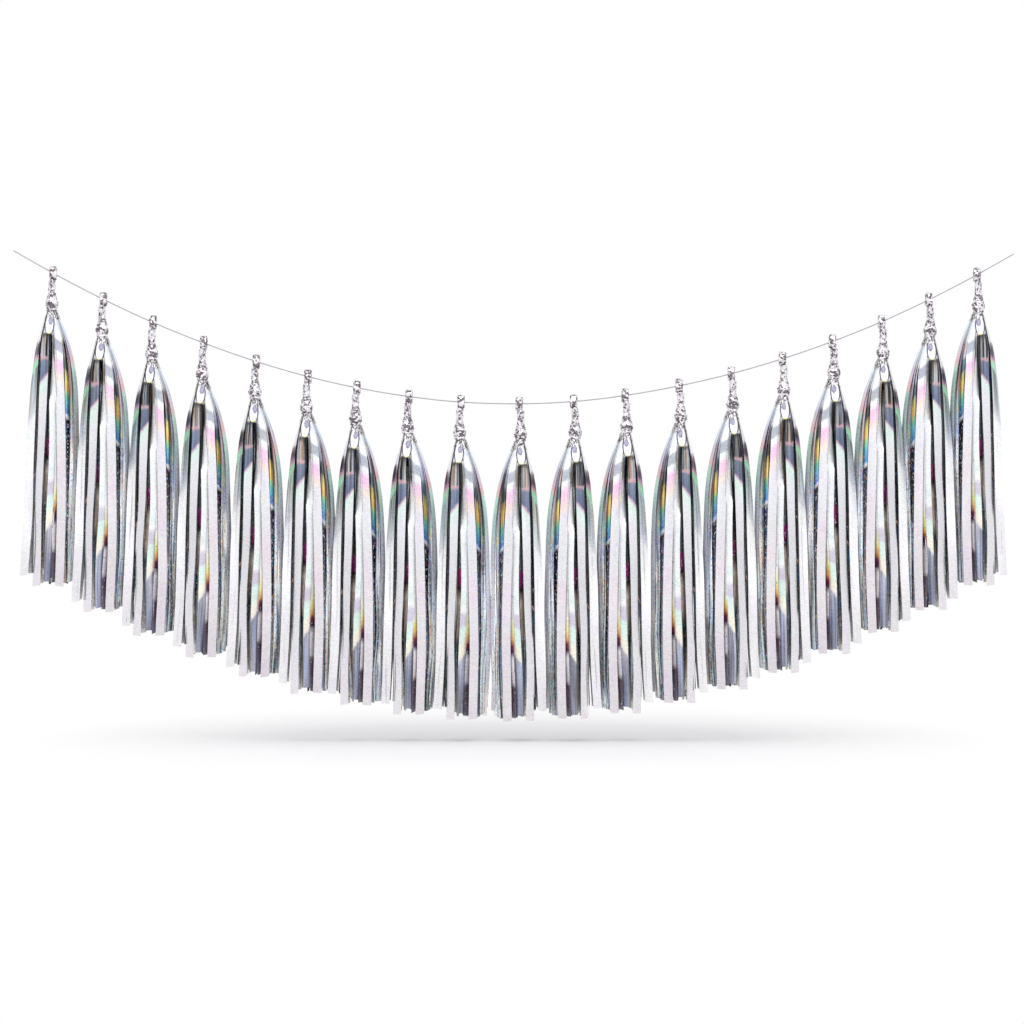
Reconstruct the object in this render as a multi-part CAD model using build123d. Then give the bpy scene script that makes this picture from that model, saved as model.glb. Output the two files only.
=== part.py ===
from build123d import *

import math
import os

# A garland: nineteen foil tassels threaded on one string, which sags between its two tied ends.
# It is seen from the front along +Y, with +X to the right and +Z up. The origin is the middle of
# the string's left end. All lengths are in millimetres.

# The string
string_diameter = 1.2
sag = 169.0
fillet_run_share = 0.45

# The fringe, from the foot of the knot to the longest tips
fringe_width = 49.0
fringe_depth = 40.0
fringe_length = 304.5
fringe_gap = 2.7
collar_length = 5.0
strip_thickness = 0.7
outer_strip_count = 14
inner_strip_count = 8
strip_fill_share = 0.78
inner_ring_share = 0.5
gather_share = 0.8

# The loop that rides on the string
loop_height = 16.4
loop_width = 8.2
loop_clearance = 0.3

# The head: the neck under the loop, then the knot
swing_clearance = 0.3
neck_width = 7.4
neck_length = 11.3
neck_start_share = 0.8
knot_width = 13.2
knot_length = 18.7
knot_belly_share = 0.5
knot_foot_width = 10.4
cutter_overrun = 1.0

# The string's route. Each point has its distance from the left end, in the narrowest spacing of two
# tassels, and its drop below the left end, as a share of the sag. The first and the last point are
# the tied ends, and a tassel hangs at each point between them.
route_shares = [
    (0.0, 0.0),
    (0.840, 0.149),
    (1.904, 0.318),
    (2.957, 0.469),
    (4.032, 0.602),
    (5.149, 0.723),
    (6.245, 0.821),
    (7.287, 0.894),
    (8.394, 0.951),
    (9.500, 0.988),
    (10.734, 0.999),
    (11.894, 0.984),
    (12.989, 0.944),
    (14.138, 0.881),
    (15.245, 0.802),
    (16.330, 0.705),
    (17.394, 0.592),
    (18.436, 0.464),
    (19.436, 0.321),
    (20.457, 0.159),
    (21.234, 0.0215),
]

# Tassels up to this one lean to the left, and the rest are their mirror image
last_left_tassel = 9

# The bell of the fringe, level by level from inside the collar to the tips: the level's depth as a
# share of the strips' length, how far the fringe has opened from the knot's foot to its full width,
# and its lean away from the middle of the garland as a share of half its full width
bell_shares = [
    (0.0, 0.0, 0.067),
    (0.055, 0.37, 0.06),
    (0.125, 0.71, 0.045),
    (0.25, 0.89, 0.0),
    (0.45, 0.975, 0.03),
    (0.72, 1.0, 0.14),
    (1.0, 1.0, 0.36),
]

# How long the strips are, in turn round the fringe, as shares of the longest one
tip_shares = [1.0, 0.97, 0.985, 0.96, 0.99]

narrowest_pitch = fringe_width + fringe_gap
saddle_radius = loop_height / 2 + swing_clearance
knot_foot = -(saddle_radius + neck_length + knot_length)
head_lean = bell_shares[0][2] * fringe_width / 2


def route_points():
    """The corners of the string's route, from the left end to the right end."""
    return [Vector(narrowest_pitch * across, 0, -sag * drop) for across, drop in route_shares]


def corner(points, number):
    """A corner's fillet radius, and the middle of its arc with the string's slope there in radians."""
    arriving = points[number] - points[number - 1]
    leaving = points[number + 1] - points[number]
    shorter = min(arriving.length, leaving.length)
    half_turn = math.radians(arriving.get_angle(leaving)) / 2
    radius = fillet_run_share * shorter / math.tan(half_turn)
    inward = (leaving.normalized() - arriving.normalized()).normalized()
    middle = points[number] + inward * (radius * (1 / math.cos(half_turn) - 1))
    along = arriving.normalized() + leaving.normalized()
    return radius, middle, math.atan2(along.Z, along.X)


def string(points, radii):
    """The string: straight runs between the tassels, joined by the wide arcs over their loops."""
    path = FilletPolyline(*points, radius=radii)
    section = Plane(origin=path @ 0, z_dir=path % 0) * Circle(string_diameter / 2)
    made = sweep(section, path=path)
    print(f"string: {path.length:.1f} mm long, arcs of {min(radii):.0f} to {max(radii):.0f} mm")
    print(f"string: volume {made.volume:.1f}, section times length {section.area * path.length:.1f}")
    return made


def loop(slope):
    """A ring of twisted foil round the X axis, its throat just clear of a string of this slope."""
    reach = loop_height / 2 * math.cos(slope) - string_diameter / 2 - loop_clearance
    side = loop_width / 2 * math.sin(slope)
    band = (reach**2 - side**2) / (2 * reach * math.cos(slope))
    section = Plane.XZ * Pos(0, loop_height / 2 - band) * Ellipse(loop_width / 2, band)
    return revolve(section, Axis.X)


def head():
    """The neck and the knot, with a saddle on top that turns under the loop."""
    neck, knot, foot = neck_width / 2, knot_width / 2, knot_foot_width / 2
    start = -saddle_radius * neck_start_share
    shoulder = knot_foot + knot_length
    belly = shoulder - knot_length * knot_belly_share
    outline = Polyline((foot, knot_foot), (0, knot_foot), (0, start), (neck, start), (neck, shoulder))
    outline += ThreePointArc((neck, shoulder), (knot, belly), (foot, knot_foot))
    bundle = Pos(-head_lean) * revolve(Plane.XZ * make_face(outline), Axis.Z)
    saddle_length = 2 * (neck + head_lean + cutter_overrun)
    return bundle - Rot(Y=90) * Cylinder(saddle_radius, saddle_length)


def lofted_flat(sections):
    """A straight loft through four-sided sections, with a flat face between each pair of edges."""
    faces = [Face(Wire.make_polygon(end, close=True)) for end in (sections[0], sections[-1])]
    for upper, lower in zip(sections, sections[1:]):
        for first, second in [(0, 1), (1, 2), (2, 3), (3, 0)]:
            outline = [upper[first], upper[second], lower[second], lower[first]]
            faces.append(Face(Wire.make_polygon(outline, close=True)))
    return Solid(Shell(faces))


def strip(angle, ring_share, pitch_angle, tip_share):
    """One strip of the fringe: a flat band that keeps its bearing while the bell widens."""
    along = Vector(-fringe_width * math.sin(angle), fringe_depth * math.cos(angle), 0).normalized()
    outward = Vector(along.Y, -along.X, 0)
    gathered = gather_share * knot_foot_width / 2
    top = knot_foot - collar_length / 2
    length = fringe_length - collar_length / 2
    sections = []
    for drop, opening, lean in bell_shares:
        half_width = (gathered + (fringe_width / 2 - gathered) * opening) * ring_share
        half_depth = (gathered + (fringe_depth / 2 - gathered) * opening) * ring_share
        middle = Vector(
            (half_width - strip_thickness / 2) * math.cos(angle) - lean * fringe_width / 2,
            (half_depth - strip_thickness / 2) * math.sin(angle),
            top - length * (tip_share if drop == 1 else drop),
        )
        pitch = pitch_angle * math.hypot(half_width * math.sin(angle), half_depth * math.cos(angle))
        side = along * (strip_fill_share * pitch / 2)
        face = outward * (strip_thickness / 2)
        sections.append([middle + side + face, middle - side + face, middle - side - face, middle + side - face])
    return lofted_flat(sections)


def fringe():
    """The strips, in an outer and an inner ring, joined at the collar under the knot."""
    strips = []
    rings = [(outer_strip_count, 1.0, 0.0), (inner_strip_count, inner_ring_share, 0.5)]
    for count, ring_share, turned in rings:
        pitch_angle = 2 * math.pi / count
        for number in range(count):
            tip_share = tip_shares[number % len(tip_shares)]
            strips.append(strip((number + turned) * pitch_angle, ring_share, pitch_angle, tip_share))
    collar = Cylinder(knot_foot_width / 2, collar_length, align=(Align.CENTER, Align.CENTER, Align.MAX))
    return Pos(-head_lean, 0, knot_foot) * collar + strips


def main():
    os.makedirs("parts", exist_ok=True)
    points = route_points()
    corners = [corner(points, number) for number in range(1, len(points) - 1)]
    nodes = {"string": string(points, [radius for radius, middle, slope in corners])}
    left_head, left_fringe = head(), fringe()
    right_head, right_fringe = mirror(left_head, Plane.YZ), mirror(left_fringe, Plane.YZ)
    for number, (radius, middle, slope) in enumerate(corners, start=1):
        leans_left = number <= last_left_tassel
        nodes[f"tassel_{number:02d}_loop"] = Pos(middle) * loop(slope)
        nodes[f"tassel_{number:02d}_head"] = Pos(middle) * (left_head if leans_left else right_head)
        nodes[f"tassel_{number:02d}_fringe"] = Pos(middle) * (left_fringe if leans_left else right_fringe)
    for name, solid in nodes.items():
        export_step(solid, f"parts/{name}.step")


main()
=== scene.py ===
import math
import random

import bpy
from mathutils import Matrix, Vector, noise


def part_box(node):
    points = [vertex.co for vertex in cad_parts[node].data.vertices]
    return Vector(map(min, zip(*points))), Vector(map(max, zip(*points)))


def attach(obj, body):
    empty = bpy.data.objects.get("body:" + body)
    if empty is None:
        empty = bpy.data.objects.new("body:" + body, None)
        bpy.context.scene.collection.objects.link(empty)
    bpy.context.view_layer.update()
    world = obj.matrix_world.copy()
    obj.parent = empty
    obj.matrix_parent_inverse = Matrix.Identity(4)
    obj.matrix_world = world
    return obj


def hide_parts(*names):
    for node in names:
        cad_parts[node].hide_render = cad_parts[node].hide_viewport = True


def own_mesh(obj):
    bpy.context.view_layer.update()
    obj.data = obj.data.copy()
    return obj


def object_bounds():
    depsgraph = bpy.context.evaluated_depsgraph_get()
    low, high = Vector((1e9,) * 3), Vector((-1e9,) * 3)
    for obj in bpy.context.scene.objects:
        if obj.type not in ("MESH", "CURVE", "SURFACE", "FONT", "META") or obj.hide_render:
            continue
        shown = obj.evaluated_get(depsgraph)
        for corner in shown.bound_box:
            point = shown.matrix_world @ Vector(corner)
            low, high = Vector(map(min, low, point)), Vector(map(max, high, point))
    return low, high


# The looks of a garland: nineteen tassels of iridescent silver film on one sagging string.
# It is seen from the front along +Y, with +X to the right and +Z up. All lengths are in metres.

MILLIMETRE = 0.001

# The photograph: its side in pixels, one pixel's size at the string, and the pixel of the string's left
# end. Then the camera: its distance, how far it looks down, and its sensor's width in millimetres.
PHOTO_SIDE = 1024
PIXEL = 1.1 * MILLIMETRE
LEFT_END_PIXEL = (14.6, 250.7)
CAMERA_DISTANCE = 8.0
CAMERA_ELEVATION = math.radians(3.5)
SENSOR_WIDTH = 36.0

# The string's route, as in the part's source: the distance from the left end in the narrowest spacing
# of two tassels, and the drop below the left end as a share of the sag
STRING_DIAMETER = 1.2 * MILLIMETRE
NARROWEST_PITCH = 51.7 * MILLIMETRE
SAG = 169 * MILLIMETRE
ROUTE_SHARES = [
    (0.0, 0.0), (0.840, 0.149), (1.904, 0.318), (2.957, 0.469),
    (4.032, 0.602), (5.149, 0.723), (6.245, 0.821), (7.287, 0.894),
    (8.394, 0.951), (9.500, 0.988), (10.734, 0.999), (11.894, 0.984),
    (12.989, 0.944), (14.138, 0.881), (15.245, 0.802), (16.330, 0.705),
    (17.394, 0.592), (18.436, 0.464), (19.436, 0.321), (20.457, 0.159),
    (21.234, 0.0215),
]
TASSEL_COUNT = len(ROUTE_SHARES) - 2
LAST_LEFT_TASSEL = 9

# The fringe's strips. A strip is crowned to either side, waves in and out with a smaller sway to the
# side, and is cut a little slanted. The spreads are what chance gives, and the spans are the shares of the
# fringe's length over which the crown and the waves grow.
STRIP_WIDTH = 9.5 * MILLIMETRE
STRIP_THICKNESS = 0.14 * MILLIMETRE
STRIP_CROWN = 0.5 * MILLIMETRE
CROWN_SPREAD = (0.5, 1.3)
CROWN_SPAN = (0.0, 0.3)
STRIP_WAVE = 1.2 * MILLIMETRE
STRIP_SWAY = 0.4 * MILLIMETRE
WAVE_SPREAD = (1.5, 3.0)
WAVE_SPAN = (0.2, 1.0)
CUT_SLANT = 0.7 * MILLIMETRE
CUT_SPREAD = (-0.004, 0.004)

# The steps down a strip, which lie closer at its top, and the points of one row round it: three in front
# and three behind, at these shares of its width
STRIP_STEPS = 26
STEP_POWER = 1.25
ACROSS_SHARES = (0.0, 0.5, 1.0)
ROW_POINTS = 6

# The strips leave the knot gathered into narrow folds and open within the first part of their length
GATHERED_SHARE = 0.36
OPENED_SHARE = 0.16

# The skirt that they form, and how much narrower it is at the back
SKIRT_HALF_WIDTH = 27.2 * MILLIMETRE
SKIRT_HALF_DEPTH = 20.5 * MILLIMETRE
BACK_SHARE = 0.93

# Levels down the fringe, as shares of its length, and the skirt's outline at each of them: its middle
# and its half width, as shares of the skirt's half width, with the garland's outer side negative
LEVEL_SHARES = [0.0, 0.05, 0.12, 0.20, 0.30, 0.50, 0.76, 1.0]
MIDDLE_SHARES = [-0.055, -0.032, -0.006, 0.018, 0.014, -0.028, -0.146, -0.335]
HALF_WIDTH_SHARES = [0.22, 0.425, 0.67, 0.822, 0.926, 0.994, 1.03, 1.0]

# The tassels in the middle hang straighter than the outermost ones, by these shares of the skirt's half
# width at the top and, further, at the tips. The outermost one on the right leans half as far as the one
# on the left.
STRAIGHTER_TOP_SHARE = 0.045
STRAIGHTER_TIP_SHARE = 0.20
OUTERMOST_LEAN_SHARES = {1: 1.0, -1: 0.5}

# The strips start a little under the frame's own fringe. They are cut longer in the middle tassels, and
# their length changes over this span of the way from the outermost tassel to the middle.
FRINGE_DROP = 2.4 * MILLIMETRE
MIDDLE_EXTRA = 3.5 * MILLIMETRE
OUTERMOST_EXTRA = {1: -2.5 * MILLIMETRE, -1: -5.0 * MILLIMETRE}
EXTRA_SPAN = (0.1, 0.8)

# The strips round the front, from the garland's outer side to its middle. The back repeats them. Each has
# its film, how far out it lies, where it runs at each level as a share of the half width there, how
# squarely it faces the front at each level, and its length as a share of the fringe's. The last one lies
# behind the first and shows from the side alone.
STRIPS = [
    ("edge", 1.3, [-0.87, -0.88, -0.88, -0.88, -0.88, -0.91, -0.87, -0.88],
     [0.3, 0.3, 0.44, 0.58, 0.74, 0.95, 1.0, 0.95], 0.962),
    # A strip of dark film: painted shade and reflections between the strips
    ("night", 0.78, [-0.7, -0.77, -0.75, -0.735, -0.69, -0.68, -0.635, -0.53],
     [0.28, 0.28, 0.3, 0.3, 0.28, 0.28, 0.24, 0.2], 0.955),
    ("leaf", 1.0, [-0.45, -0.48, -0.47, -0.43, -0.435, -0.455, -0.465, -0.36],
     [0.9, 0.9, 0.95, 0.9, 0.93, 0.84, 0.84, 0.94], 1.0),
    ("olive", 0.78, [-0.22, -0.16, -0.13, -0.15, -0.2, -0.2, -0.209, -0.07],
     [0.5, 0.5, 0.45, 0.4, 0.34, 0.46, 0.42, 0.25], 0.985),
    # Another strip of dark film: painted shade and reflections between the strips
    ("night", 0.62, [-0.02, -0.04, -0.06, -0.08, -0.02, 0.0, 0.05, 0.22],
     [0.3, 0.3, 0.3, 0.3, 0.25, 0.25, 0.25, 0.18], 0.99),
    ("prism", 0.94, [0.08, 0.02, -0.04, -0.06, -0.01, 0.037, 0.01, 0.085],
     [0.5, 0.5, 0.55, 0.6, 0.8, 0.84, 0.9, 0.76], 0.98),
    ("flame", 0.8, [0.25, 0.25, 0.25, 0.25, 0.25, 0.26, 0.24, 0.31],
     [0.35, 0.35, 0.3, 0.3, 0.5, 0.75, 0.6, 0.45], 0.99),
    ("pearl", 1.02, [0.36, 0.34, 0.34, 0.29, 0.315, 0.368, 0.46, 0.55],
     [0.95, 0.95, 1.0, 1.0, 1.0, 1.0, 1.0, 0.98], 1.0),
    ("rainbow", 0.9, [0.58, 0.64, 0.7, 0.665, 0.635, 0.625, 0.69, 0.8],
     [0.5, 0.5, 0.48, 0.5, 0.54, 0.48, 0.44, 0.48], 0.99),
    ("ember", 0.88, [0.74, 0.8, 0.84, 0.8, 0.79, 0.77, 0.81, 0.9],
     [0.4, 0.4, 0.4, 0.36, 0.36, 0.4, 0.44, 0.48], 0.985),
    ("silver", 0.62, [0.86, 0.88, 0.9, 0.93, 0.94, 0.92, 0.925, 0.97],
     [0.35, 0.35, 0.34, 0.34, 0.45, 0.6, 0.68, 0.68], 0.985),
    ("gleam", 0.96, [0.86, 0.88, 0.91, 0.95, 0.97, 0.98, 1.01, 1.1],
     [0.25, 0.25, 0.28, 0.33, 0.38, 0.42, 0.42, 0.42], 0.965),
    ("side", 0.8, [-0.86, -0.86, -0.86, -0.87, -0.88, -0.9, -0.87, -0.87],
     [0.12, 0.12, 0.12, 0.1, 0.1, 0.1, 0.1, 0.1], 0.95),
]

# The strips inside: how far out each row lies and how many strips it has, and the span of their places at
# each level. Each strip strays from its place by up to a share of the space between two.
INNER_ROWS = [(0.54, 7), (0.3, 5)]
INNER_SPANS = [(-0.6, 0.6), (-0.65, 0.65), (-0.7, 0.7), (-0.7, 0.75),
               (-0.68, 0.78), (-0.58, 0.82), (-0.42, 0.84), (-0.2, 0.84)]
INNER_FILMS = ["slate", "slate", "smoke"]
INNER_STRAY_SPREAD = (-0.2, 0.2)
INNER_TIP_SPREAD = (0.955, 0.985)
INNER_FACING_SHARE = 0.95

# The films. Each has the colours down its length, with how much streaks darken and lighten it there
# where that isn't 0. The dark colours are painted shade and painted reflections of dark surroundings on film
# that is silver, a few narrow bright ones are painted glints, and the streaks are painted reflections too.
# Then come how glossy it is, how many streaks there are in a millimetre, how far its colour borders slant
# across the strip and between which shares that sets in, and how much it shows of bands, shifting tints and
# glitter.
FILMS = {
    "pearl": (
        [(0.0, "dcdade", 0.3), (0.03, "e6e8ea"), (0.05, "d4d8ee"), (0.066, "e2e6ec"), (0.102, "e4e6e9"),
         (0.11, "a8acb8"), (0.143, "acb0bb"), (0.149, "e0e4e4"), (0.165, "e4e0e4"), (0.185, "e6bcd8"),
         (0.215, "e6c6d8"), (0.24, "ead8ce"), (0.27, "dfdde3"), (0.45, "dddbe1"), (0.56, "e2d6de"),
         (0.66, "dedae0"), (0.8, "dcd5db"), (1.0, "d9d1d7")],
        0.5, 0.5, (0.018, 0.05, 0.10), 0.04, 0.16, 0.0,
    ),
    "edge": (
        [(0.0, "d8d8dc"), (0.03, "ececee"), (0.105, "ececf0", 0.2), (0.12, "848088", 1.0),
         (0.14, "4c4854", 1.0), (0.155, "6a5a74", 0.6), (0.175, "d8a8c0"), (0.185, "a4e0b4"),
         (0.205, "b0e4c4"), (0.22, "a8b4b4", 0.5), (0.34, "c8ccd2", 0.3), (0.385, "dcdee2"),
         (0.40, "f0f0f3"), (0.5, "f4f4f6"), (0.6, "efedf2"), (0.8, "e8e5e9"), (1.0, "e4e1e5")],
        0.5, 0.4, (-0.05, 0.14, 0.22), 0.02, 0.12, 0.0,
    ),
    "leaf": (
        [(0.0, "c8c6ca", 0.3), (0.03, "e8e8ec"), (0.075, "ececf0"), (0.083, "34363a", 0.7),
         (0.10, "88888c", 1.0), (0.16, "929298", 1.0), (0.17, "d0a8b0"), (0.18, "79849a", 0.3),
         (0.232, "6c7694", 0.3), (0.242, "d8b0c4"), (0.252, "d8ece4"), (0.32, "e6e4ea"),
         (0.5, "dddbe0"), (0.8, "e0dde2"), (1.0, "e2dce1")],
        0.5, 0.5, (-0.04, 0.165, 0.24), 0.03, 0.12, 0.0,
    ),
    "gleam": (
        [(0.0, "dcdce0"), (0.03, "eceef2"), (0.055, "d0e4f0"), (0.12, "ccc8da", 0.3),
         (0.18, "e8bcc0"), (0.21, "c4e8dc"), (0.3, "d0e4e4"), (0.4, "dee0ea"), (0.7, "eceaf0"),
         (1.0, "eae6ea")],
        0.4, 0.3, (0.0, 0.0, 1.0), 0.05, 0.1, 0.0,
    ),
    # Dark film from under the knot down: painted shade and reflections on film that is silver
    "night": (
        [(0.0, "dcdce2"), (0.07, "d0d0d8"), (0.09, "7c7c80", 1.0), (0.15, "6c6074", 1.0),
         (0.2, "586878", 0.9), (0.235, "34446c", 0.7), (0.3, "44645f", 0.8), (0.4, "15191b", 0.7),
         (0.592, "18181c"), (0.6, "d0a898"), (0.607, "1c1c20"), (0.65, "1e4660"), (0.7, "0e1416", 0.7),
         (0.8, "14343a", 0.7), (1.0, "0a0c0e")],
        0.02, 0.22, (-0.02, 0.1, 0.2), 0.1, 0.0, 0.12,
    ),
    "olive": (
        [(0.0, "c8c8ce"), (0.06, "dcdce0"), (0.085, "5c5c60", 1.0), (0.2, "4c4c50", 1.0),
         (0.3, "545e5d", 1.0), (0.38, "5c6668", 0.9), (0.455, "5c6266", 0.5), (0.47, "a83888"),
         (0.52, "74305f"), (0.53, "26262c", 0.6), (0.58, "dcccbc"), (0.6, "bcac9c"),
         (0.68, "c0aca0", 0.9), (0.73, "4c5458", 0.9), (0.8, "8c949c", 0.9), (1.0, "b8b4a4")],
        0.04, 0.25, (0.0, 0.0, 1.0), 0.15, 0.0, 0.3,
    ),
    "prism": (
        [(0.0, "c8c6ca", 0.3), (0.02, "e4e4e8"), (0.075, "e8e8ec"), (0.09, "8c8c90", 1.0),
         (0.155, "8c9092", 1.0), (0.185, "ececf0"), (0.53, "f2f4f6"), (0.578, "e2eeec"),
         (0.607, "f6f6f8"), (0.625, "d4cede"), (0.66, "d0cadc"), (0.67, "d8ecea"), (0.715, "def0e6"),
         (0.74, "f6f0de"), (0.77, "f0eae0"), (0.785, "a8acbe", 0.4), (0.885, "989eb6", 0.4),
         (1.0, "9a9cb0", 0.4)],
        0.4, 0.4, (-0.04, 0.64, 0.77), 0.08, 0.1, 0.0,
    ),
    "flame": (
        [(0.0, "d0d0d6"), (0.085, "e0e0e4", 0.2), (0.6, "f2f2f4", 0.1), (0.64, "fcf8dc"),
         (0.68, "fcec9c"), (0.71, "ecac6c"), (0.73, "7c3440"), (0.755, "44284c"), (0.78, "f0e8ec"),
         (0.86, "e4dce0"), (0.88, "6c5868"), (1.0, "7c7484")],
        0.3, 0.3, (0.0, 0.0, 1.0), 0.1, 0.0, 0.1,
    ),
    "rainbow": (
        [(0.0, "e0e2e6"), (0.05, "e8eaee"), (0.1, "e8e8ee", 0.2), (0.118, "c4c2ce", 1.0),
         (0.165, "bcb8ca", 1.0), (0.178, "74868e", 1.0), (0.215, "648084", 0.9), (0.228, "c8c488", 0.7),
         (0.26, "f0dc84", 0.5), (0.285, "f0c47c", 0.5), (0.302, "a4d094", 0.5), (0.318, "74c4b4", 0.5),
         (0.345, "64acd0", 0.5), (0.378, "5484c8", 0.5), (0.388, "f0f4f8"), (0.402, "30323a", 0.8),
         (0.55, "565c6a", 0.9), (0.7, "788092", 0.9), (0.8, "8a94a4", 0.8), (1.0, "98a0aa", 0.7)],
        0.15, 0.3, (0.02, 0.1, 0.2), 0.1, 0.0, 0.7,
    ),
    "ember": (
        [(0.0, "e4e4e8"), (0.09, "e8e8ee", 0.2), (0.12, "d0ccdc", 0.8), (0.165, "c0b8d0", 0.9),
         (0.178, "c4acb8", 0.8), (0.3, "c4b8c2", 0.8), (0.33, "b0ccc8", 0.7), (0.36, "dcd4b0", 0.5),
         (0.38, "b0d4d8", 0.7), (0.41, "c0b8dc", 0.6), (0.445, "b8c8ec", 0.7), (0.46, "bcc2d6", 0.8),
         (0.5, "d8dce6", 0.9), (0.58, "e4e7ee", 0.9), (0.64, "d8e2e8", 0.8), (0.8, "d0dce2", 0.8),
         (1.0, "ccd8de", 0.8)],
        0.2, 0.32, (0.0, 0.0, 1.0), 0.1, 0.0, 0.8,
    ),
    "silver": (
        [(0.0, "dcdce0"), (0.03, "eceef2"), (0.055, "d4e8f4"), (0.068, "c0e4f4"), (0.085, "d0d0e0"),
         (0.12, "c4c0d2", 0.4), (0.165, "c0b8d0", 0.4), (0.185, "f4bcb4"), (0.20, "e8c0bc"),
         (0.212, "b0dcd0"), (0.285, "c0dcd8", 0.4), (0.35, "dce4e8", 0.4), (0.5, "f2f6fa", 0.5),
         (0.6, "f8fafc", 0.5), (0.8, "f2f6f8", 0.5), (0.972, "ecf0f4", 0.5), (0.98, "f8f6f8"),
         (1.0, "f4f2f4")],
        0.3, 0.32, (0.015, 0.1, 0.2), 0.03, 0.1, 0.4,
    ),
    "side": (
        [(0.0, "d8d8dc"), (0.04, "ececf0"), (0.1, "b8b8c4", 0.6), (0.15, "9c98ac", 0.7),
         (0.19, "e0bcd0", 0.3), (0.23, "b8e0d0", 0.3), (0.3, "ccd4da", 0.5), (0.45, "e4e2e8", 0.4),
         (0.6, "d4dce4", 0.6), (0.75, "e6e0e8", 0.4), (0.88, "d0dcdc", 0.5), (1.0, "e2dfe4", 0.4)],
        0.4, 0.4, (0.02, 0.1, 0.2), 0.08, 0.15, 0.3,
    ),
    "slate": (
        [(0.0, "c8c8cc", 0.3), (0.075, "d0d0d6", 0.3), (0.10, "7c7e84", 0.8), (0.2, "949ca8", 0.8),
         (0.45, "bcc4d0", 0.8), (0.6, "d4dce4", 0.8), (0.75, "e0e6ee", 0.7), (1.0, "e4eaf0", 0.6)],
        0.15, 0.35, (0.0, 0.0, 1.0), 0.15, 0.05, 0.5,
    ),
    "smoke": (
        [(0.0, "c8c8cc", 0.3), (0.075, "d0d0d6", 0.3), (0.10, "88888e", 0.9), (0.3, "a4a8ac", 0.9),
         (0.6, "ccd6d6", 0.8), (0.85, "e0e8e8", 0.7), (1.0, "e6eeee", 0.6)],
        0.15, 0.35, (0.0, 0.0, 1.0), 0.15, 0.05, 0.4,
    ),
}

# The films' finer patterns. Noise keeps near its middle, so a span of it is spread out. A fineness is in
# one over millimetres, and a pair has it across the strip and along it. The other spans are shares of the
# fringe's length, or of a glitter cell.
NOISE_SPAN = (0.3, 0.7)
STREAK_NOISE_SPAN = (0.38, 0.62)
PATTERN_SHIFT = 97.0
BORDER_FINENESS = 0.25
BORDER_RAGGEDNESS = 0.003
STREAK_FINENESS_ALONG = 0.010
STREAK_TINT_SHARE = 0.8
STREAK_TINT_FINENESS_ALONG = 0.02
BAND_FINENESS = (0.12, 0.3)
BAND_SPAN = (0.35, 0.8)
BAND_TOP_SHARE = 0.25
GRAIN_FINENESS = 0.45
GRAIN_LIGHTS = (0.92, 1.07)
TINT_FINENESS = (0.10, 0.045)
FACET_FINENESS = 0.42
CRUSHED_SPAN = (0.036, 0.028)
CRUSHED_RAGGEDNESS = 2.0
FILM_METALLIC_SHARE = 0.6
FILM_ROUGHNESS = (0.22, 0.36)
GLITTER_FINENESS = (0.7, 0.4)
GLITTER_SPAN = (0.28, 0.4)
GLITTER_CELL_SPAN = (0.45, 0.35)
GLITTER_CHANCE = 0.6
GLITTER_SOFTNESS = 0.02
GLITTER_STRENGTH = 0.8

# The colours that patterns pick: the films' shifting tints, the tints of their streaks, which are painted
# reflections, the painted shade and reflections of the facets where they are crushed, and the glitter
TINTS = [(0.25, "ffd6f2"), (0.38, "e0d8ff"), (0.48, "ffffff"), (0.56, "d4fff0"), (0.64, "fff6d8"),
         (0.75, "d6ecff")]
REFLECTION_STREAK_TINTS = [(0.3, "bccce4"), (0.42, "e0ecf8"), (0.5, "ffffff"), (0.58, "fff0d8"), (0.7, "e8b898")]
FACET_SHADES = [(0.36, "4c464a"), (0.45, "6c666a"), (0.52, "c4c0c6"), (0.58, "f0eef0")]
GLITTER = [(0.0, "5c80d0"), (0.14, "e0b070"), (0.3, "f0e8d8"), (0.46, "d080b8"), (0.56, "68c8bc"),
           (0.68, "3c3c48"), (0.8, "f4f4ff")]

# The petal of film that is folded out under the knot, at the front and the back. It widens from its root,
# arches off the strips and ends in a round lip.
PETAL_LEVEL_SHARES = (-0.004, 0.083)
PETAL_PLACE_SHARE = -0.25
PETAL_DEPTH_SHARE = 1.02
PETAL_WIDTH = 11.2 * MILLIMETRE
PETAL_ROOT_SHARE = 0.42
PETAL_WIDENING_SPAN = (0.0, 0.6)
PETAL_LIP_POWER = 7
PETAL_LIP_LEAST = 0.03
PETAL_CROWN = 1.6 * MILLIMETRE
PETAL_ARCH_SPAN = (0.1, 0.9)
PETAL_STAND_OFF = 0.6 * MILLIMETRE
PETAL_STEPS = 12

# Its colours: a crushed root with painted shade and reflections on its facets, a blot that darkens towards
# its edge, and a dark line down each side, painted shade where its arched edges turn away
PETAL_TONES = [(0.0, "e4e4e8"), (0.9, "eceef0"), (0.95, "e8e4b0"), (1.0, "a49848")]
PETAL_CRUSHED_SPAN = (0.32, 0.2)
PETAL_ROUGHNESS = (0.26, 0.4)
PETAL_ROUGHNESS_FINENESS = 0.8
BLOT_MIDDLE = (0.62, 0.45)
BLOT_SIZE = (0.25, 0.17)
BLOT_FINENESS = 0.5
BLOT_RAGGEDNESS = 0.4
BLOT_DARK_SPAN = (0.3, 0.8)
BLOT_EDGE_SPAN = (1.1, 0.8)
BLOT_TONE = "a4a4c4"
BLOT_DARK_TONE = "645c70"
LINE_SIDE_SPAN = (0.34, 0.42)
LINE_START_SPAN = (0.22, 0.3)
LINE_END_SPAN = (0.97, 0.9)
EDGE_SHADE_TONE = "4a4044"

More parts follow.
